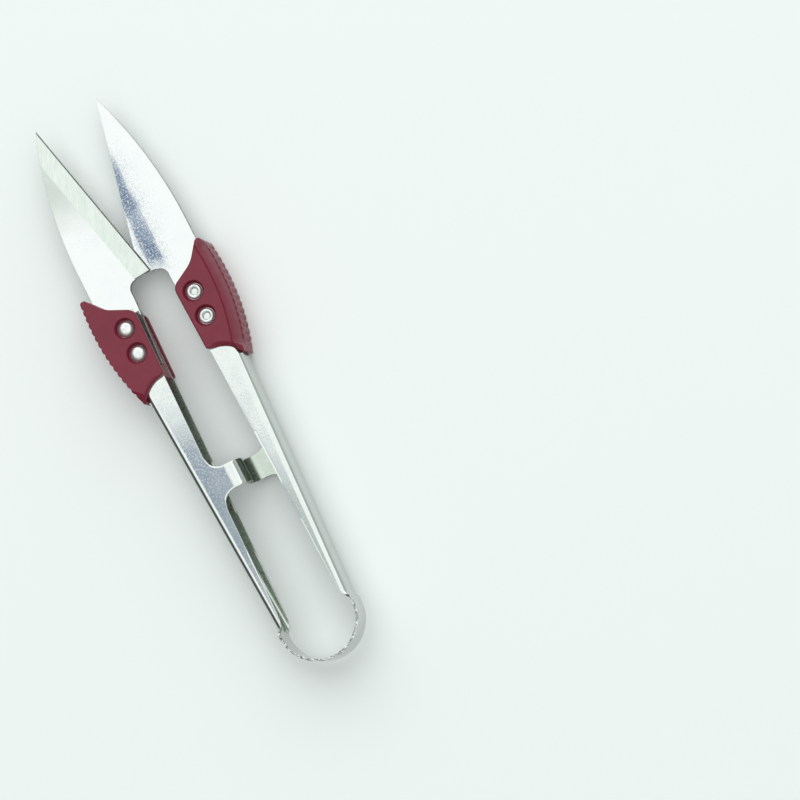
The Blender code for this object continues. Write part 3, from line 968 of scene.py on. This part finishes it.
class Graph:
    """Short calls for the nodes that the materials and the room light share."""

    def __init__(self, owner):
        owner.use_nodes = True
        self.nodes = owner.node_tree.nodes
        self.links = owner.node_tree.links
        self.coordinates = self.nodes.new("ShaderNodeTexCoord")

    def axes(self, source):
        """The X, Y and Z of a vector."""
        apart = self.nodes.new("ShaderNodeSeparateXYZ")
        self.links.new(source, apart.inputs["Vector"])
        return apart.outputs

    def ramp(self, source, low, high, from_value, to_value):
        """Source mapped from low..high to from_value..to_value, held at the ends."""
        mapped = self.nodes.new("ShaderNodeMapRange")
        mapped.inputs["From Min"].default_value = low
        mapped.inputs["From Max"].default_value = high
        mapped.inputs["To Min"].default_value = from_value
        mapped.inputs["To Max"].default_value = to_value
        self.links.new(source, mapped.inputs["Value"])
        return mapped.outputs["Result"]

    def maths(self, operation, first, second):
        """The result of an operation on two numbers, each a value or a socket."""
        node = self.nodes.new("ShaderNodeMath")
        node.operation = operation
        for socket, value in zip(node.inputs, (first, second)):
            if isinstance(value, (int, float)):
                socket.default_value = value
            else:
                self.links.new(value, socket)
        return node.outputs["Value"]


class Look(Graph):
    """A node material being built."""

    def __init__(self, name, colour, metallic, roughness):
        self.material = bpy.data.materials.new(name)
        super().__init__(self.material)
        self.shader = self.nodes["Principled BSDF"]
        self.shader.inputs["Base Color"].default_value = (*colour, 1)
        self.shader.inputs["Metallic"].default_value = metallic
        self.shader.inputs["Roughness"].default_value = roughness
        self.normal = None

    def space(self, scale, turn=0):
        """Object coordinates turned about Z and then stretched."""
        turned_space = self.nodes.new("ShaderNodeMapping")
        turned_space.inputs["Rotation"].default_value = (0, 0, turn)
        self.links.new(self.coordinates.outputs["Object"], turned_space.inputs["Vector"])
        stretched = self.nodes.new("ShaderNodeMapping")
        stretched.inputs["Scale"].default_value = scale
        self.links.new(turned_space.outputs["Vector"], stretched.inputs["Vector"])
        return stretched.outputs["Vector"]

    def noise(self, size, detail=3, roughness=0.5, stretch=(1, 1, 1), turn=0):
        """Noise whose features are about size metres across."""
        texture = self.nodes.new("ShaderNodeTexNoise")
        texture.inputs["Scale"].default_value = 1 / size
        texture.inputs["Detail"].default_value = detail
        texture.inputs["Roughness"].default_value = roughness
        self.links.new(self.space(stretch, turn), texture.inputs["Vector"])
        return texture.outputs["Fac"]

    def mix(self, share, first, second):
        """Colour that goes from first to second with share; each is a colour or a socket."""
        node = self.nodes.new("ShaderNodeMix")
        node.data_type = "RGBA"
        self.links.new(share, node.inputs["Factor"])
        for socket, value in ((node.inputs[6], first), (node.inputs[7], second)):
            if isinstance(value, tuple):
                socket.default_value = (*value, 1)
            else:
                self.links.new(value, socket)
        return node.outputs[2]

    def colour(self, source):
        self.links.new(source, self.shader.inputs["Base Color"])

    def roughness(self, source):
        self.links.new(source, self.shader.inputs["Roughness"])

    def bump(self, source, depth):
        """Surface relief of about depth metres; later calls add to earlier ones."""
        node = self.nodes.new("ShaderNodeBump")
        node.inputs["Strength"].default_value = 1
        node.inputs["Distance"].default_value = depth
        self.links.new(source, node.inputs["Height"])
        if self.normal is not None:
            self.links.new(self.normal, node.inputs["Normal"])
        self.normal = node.outputs["Normal"]
        self.links.new(self.normal, self.shader.inputs["Normal"])


def steel(name, colour, cloud_colour, roughness_low, roughness_high, waviness, grain):
    """Polished sheet steel: cloudy sheen, rolling streaks, pits and a slow waviness."""
    look = Look(name, colour, 1.0, roughness_low)
    clouds = look.noise(0.0045, detail=6, roughness=0.62)
    streaks = look.noise(0.0005, detail=4, stretch=(1, 0.05, 1))
    specks = look.noise(0.00035, detail=2, roughness=0.7)
    mottle = look.maths("ADD", look.maths("MULTIPLY", clouds, 0.8), look.ramp(specks, 0.4, 0.8, 0, 0.2))
    share = look.ramp(mottle, 0.38, 0.72, 0, 1)
    look.colour(look.mix(share, colour, cloud_colour))
    look.roughness(look.ramp(share, 0, 1, roughness_low, roughness_high))
    look.bump(look.noise(0.012, detail=2, stretch=(1, 0.5, 1)), waviness)
    look.bump(streaks, grain)
    look.bump(look.ramp(specks, 0.55, 0.75, 0, 1), grain * 1.5)
    return look.material


def sheared_edge(name, dark, bright):
    """A sheared edge of the sheet: dark where it tore, brighter where the die rubbed it."""
    look = Look(name, dark, 1.0, 0.35)
    rubbed = look.ramp(look.noise(0.00017, detail=2, roughness=0.6), 0.47, 0.53, 0, 1)
    look.colour(look.mix(rubbed, dark, bright))
    look.roughness(look.ramp(rubbed, 0, 1, 0.5, 0.22))
    look.bump(look.noise(0.00022, detail=3), 0.00002)
    return look.material


def ground_steel():
    """The ground bevel: straight fine scratches left by the wheel, across the edge at a slant."""
    look = Look("ground_bevel", (0.72, 0.74, 0.71), 1.0, 0.22)
    along = edge_frame()[0]
    slant = -math.atan2(along.y, along.x) + math.radians(41)
    fine = look.noise(0.00018, detail=3, roughness=0.6, stretch=(0.01, 1, 1), turn=slant)
    broad = look.noise(0.0009, detail=2, roughness=0.6, stretch=(0.02, 1, 1), turn=slant)
    share = look.ramp(look.maths("ADD", fine, look.maths("MULTIPLY", broad, 0.6)), 0.55, 1.05, 0, 1)
    look.colour(look.mix(share, (0.48, 0.52, 0.485), (0.57, 0.61, 0.57)))
    look.roughness(look.ramp(share, 0, 1, 0.28, 0.20))
    look.bump(fine, 0.0000012)
    return look.material


def moulded_plastic():
    """Burgundy plastic with a fine moulded grain, faint flow clouds and lighter scuffs."""
    look = Look("burgundy_plastic", (0.150, 0.009, 0.028), 0.0, 0.38)
    clouds = look.noise(0.004, detail=4, roughness=0.6)
    base = look.mix(look.ramp(clouds, 0.35, 0.65, 0, 1), (0.168, 0.0095, 0.028), (0.188, 0.0125, 0.034))
    scuffs = look.ramp(look.noise(0.0016, detail=6, roughness=0.7), 0.60, 0.74, 0, 1)
    look.colour(look.mix(scuffs, base, (0.235, 0.020, 0.042)))
    grain = look.noise(0.00016, detail=3, roughness=0.6)
    look.roughness(look.ramp(look.noise(0.0012, detail=4), 0.3, 0.7, 0.30, 0.44))
    look.bump(grain, 0.000006)
    look.bump(look.noise(0.003, detail=2), 0.00002)
    look.shader.inputs["Specular IOR Level"].default_value = 0.36
    return look.material


def rivet_steel():
    """Tumbled rivet steel: softly dented, with small dull patches."""
    look = Look("rivet_steel", (0.60, 0.61, 0.59), 0.75, 0.3)
    dull = look.ramp(look.noise(0.0008, detail=4, roughness=0.6), 0.4, 0.65, 0, 1)
    look.colour(look.mix(dull, (0.74, 0.75, 0.73), (0.62, 0.63, 0.61)))
    look.roughness(look.ramp(dull, 0, 1, 0.28, 0.42))
    look.bump(look.noise(0.0007, detail=2), 0.00003)
    return look.material


def pale_paper():
    """Plain paper with the faintest mottle."""
    look = Look("pale_paper", (0.855, 0.878, 0.872), 0.0, 0.9)
    look.colour(look.mix(look.noise(0.08, detail=3), (0.85, 0.873, 0.868), (0.86, 0.882, 0.877)))
    look.bump(look.noise(0.0008, detail=4), 0.00001)
    return look.material


def flag_cloth(name, dark, pale, ragged):
    """Glowing cloth, mottled from dark to pale, that fades out unevenly towards its edges."""
    look = Look(name, dark, 0.0, 0.9)
    look.shader.inputs["Base Color"].default_value = (0, 0, 0, 1)
    look.shader.inputs["Specular IOR Level"].default_value = 0
    look.shader.inputs["Emission Strength"].default_value = 1
    mottle = look.ramp(look.noise(0.02, detail=3), 0.4, 0.62, 0, 1)
    look.links.new(look.mix(mottle, dark, pale), look.shader.inputs["Emission Color"])
    centred = look.nodes.new("ShaderNodeVectorMath")
    centred.operation = "MULTIPLY_ADD"
    centred.inputs[1].default_value = (2, 2, 0)
    centred.inputs[2].default_value = (-1, -1, 0)
    look.links.new(look.coordinates.outputs["Generated"], centred.inputs[0])
    across, along = (look.maths("ABSOLUTE", axis, 0) for axis in look.axes(centred.outputs["Vector"])[:2])
    reach = look.maths("MAXIMUM", across, along)
    edge = look.maths("ADD", reach, look.ramp(look.noise(0.012, detail=4), 0.3, 0.7, -ragged, ragged))
    look.links.new(look.ramp(edge, 0.65, 0.95, 1, 0), look.shader.inputs["Alpha"])
    return look.material


# The setting.


def flat_panel(name, width, depth, look):
    """A level rectangle about its own origin."""
    corners = [(x * width / 2, y * depth / 2, 0) for x, y in ((-1, -1), (1, -1), (1, 1), (-1, 1))]
    mesh = bpy.data.meshes.new(name)
    mesh.from_pydata(corners, [], [(0, 1, 2, 3)])
    mesh.materials.append(look)
    panel = mesh_object(name, mesh)
    return panel


def add_soft_light(name, centre, size, strength, colour):
    """A large soft panel, turned to the snips, whose surface has the given brightness."""
    light = bpy.data.lights.new(name, "AREA")
    light.shape = "RECTANGLE"
    light.size, light.size_y = size
    light.energy = strength * size[0] * size[1] * math.pi
    light.color = colour
    panel = bpy.data.objects.new(name, light)
    panel.location = centre
    panel.rotation_euler = (-Vector(centre)).to_track_quat("-Z", "Y").to_euler()
    bpy.context.scene.collection.objects.link(panel)


def add_flag(name, centre, size, dark, pale, ragged=0.15):
    """A dull panel just under the overhead light, which only the polished steel sees."""
    flag = flat_panel(name, *size, flag_cloth(name + "_cloth", dark, pale, ragged))
    flag.location = centre
    flag.visible_camera = False
    flag.visible_diffuse = False
    flag.visible_shadow = False


def add_world():
    """Room light: bright high up, in front, behind and at the right, dark low down at the left."""
    world = bpy.data.worlds.new("studio")
    graph = Graph(world)
    background = graph.nodes["Background"]
    background.inputs["Color"].default_value = (0.93, 1.0, 0.96, 1)
    x, y, z = graph.axes(graph.coordinates.outputs["Generated"])
    from_above = graph.ramp(z, 0.6, 0.75, 0.11, 0.30)
    from_ends = graph.maths("MULTIPLY", graph.maths("MULTIPLY", y, y), 0.80)
    from_right = graph.ramp(x, 0.5, 0.85, 0, 0.55)
    strength = graph.maths("ADD", graph.maths("ADD", from_above, from_ends), from_right)
    graph.links.new(strength, background.inputs["Strength"])
    bpy.context.scene.world = world


def add_lights():
    """Soft panels above and at the far side, and flags where the steel shows darker patches."""
    add_soft_light("overhead", (0.2, 0.5, 1.30), (2.3, 3.0), 1.17, (0.97, 1.0, 0.995))
    add_soft_light("far_side", (0.4, 2.3, 0.8), (3.6, 1.5), 0.4, (1.0, 1.0, 0.98))
    blue = (0.24, 0.33, 0.50)
    plum = (0.50, 0.52, 0.58)
    cream = (1.01, 1.11, 1.02)
    sage = (0.69, 0.77, 0.735)
    add_flag("flag_arm", (-0.282, 0.176, 1.25), (0.105, 0.118), blue, (0.56, 0.66, 0.73))
    add_flag("flag_root", (-0.282, 0.118, 1.249), (0.105, 0.05), plum, (0.90, 0.92, 1.0))
    add_flag("flag_blade", (-0.2325, 0.349, 1.25), (0.0105, 0.085), blue, (0.45, 0.56, 0.72))
    add_flag("flag_tip", (-0.2725, 0.431, 1.25), (0.065, 0.17), cream, (1.08, 1.18, 1.09), 0.03)
    add_flag("flag_pale", (-0.2135, 0.118, 1.251), (0.058, 0.15), sage, (0.76, 0.845, 0.80), 0)


def add_camera():
    """The viewing angle: high above the snips, a little to the lower right, turned on its side."""
    camera = bpy.data.cameras.new("camera")
    camera.sensor_width = 36
    camera.lens = 165.46
    camera.clip_start = 0.01
    camera.clip_end = 10
    eye = bpy.data.objects.new("camera", camera)
    heading = Matrix.Rotation(math.radians(41.51), 4, "Z")
    tilt = Matrix.Rotation(math.radians(12.39), 4, "X")
    roll = Matrix.Rotation(math.radians(-69.44), 4, "Z")
    turn = heading @ tilt @ roll
    aim = Vector((0.03428, -0.02255, MIDDLE_Z))
    distance = 0.7296
    eye.matrix_world = Matrix.Translation(aim + turn @ Vector((0, 0, distance))) @ turn
    bpy.context.scene.collection.objects.link(eye)
    bpy.context.scene.camera = eye


# Assembly.


def both_sides(name, build, nodes, bend=False):
    """Place a left piece and its right twin, hang each on its half's body unless bend is set, and hide the
    CAD nodes they replace.
    """
    left = build("left_" + name)
    right = mesh_object("right_" + name, left.data.copy())
    left.data.transform(PLACE)
    right.data.transform(HALF_TURN @ PLACE)
    for side, piece, outward in (("left", left, -1), ("right", right, 1)):
        if bend:
            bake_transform(piece)
        else:
            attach(piece, side + "_half")
        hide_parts(*(side + "_" + node for node in nodes))
    return left, right


steel_look = steel(
    "spring_steel", (0.60, 0.62, 0.60), (0.55, 0.57, 0.575), 0.06, 0.12, waviness=6e-6, grain=1.3e-6
)
polished_look = steel(
    "polished_blade", (0.64, 0.65, 0.645), (0.61, 0.62, 0.63), 0.012, 0.03, waviness=1.5e-6, grain=2.6e-7
)
# Near-black steel for the blade's walls, honed strip and rounded edges: painted shade for a dark outline.
painted_shade_edge_look = steel(
    "blade_outline_painted_shade", (0.15, 0.155, 0.15), (0.06, 0.065, 0.06), 0.2, 0.36, waviness=2e-5, grain=3e-6
)
# Rougher steel for the inside of the arm's channel; its darker olive colour is painted shade with a painted
# reflection tint.
shaded_inside_look = steel(
    "steel_inside_painted_shade", (0.49, 0.54, 0.48), (0.42, 0.47, 0.415), 0.26, 0.38, waviness=6e-6, grain=2e-6
)
sheared_look = sheared_edge("torn_edge", (0.02, 0.024, 0.022), (0.72, 0.74, 0.72))
burnished_look = sheared_edge("rubbed_edge", (0.24, 0.26, 0.24), (0.62, 0.63, 0.61))
ground_look = ground_steel()
plastic_look = moulded_plastic()
rivet_look = rivet_steel()

frame_left, frame_right = both_sides("frame_half", build_frame_half, ["arm"], bend=True)
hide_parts("bow_spring")
both_sides("blade_ground", build_blade, ["blade"])
both_sides("grip_moulding", build_grip, ["grip"])
for rivet_node in RIVET_NODES:
    both_sides(
        rivet_node + "_turned",
        lambda name, node=rivet_node: build_rivet(name, "left_" + node),
        [rivet_node],
    )

flat_panel("floor", 6, 6, pale_paper())
add_world()
add_lights()
add_camera()
bpy.context.scene.view_settings.view_transform = "Standard"
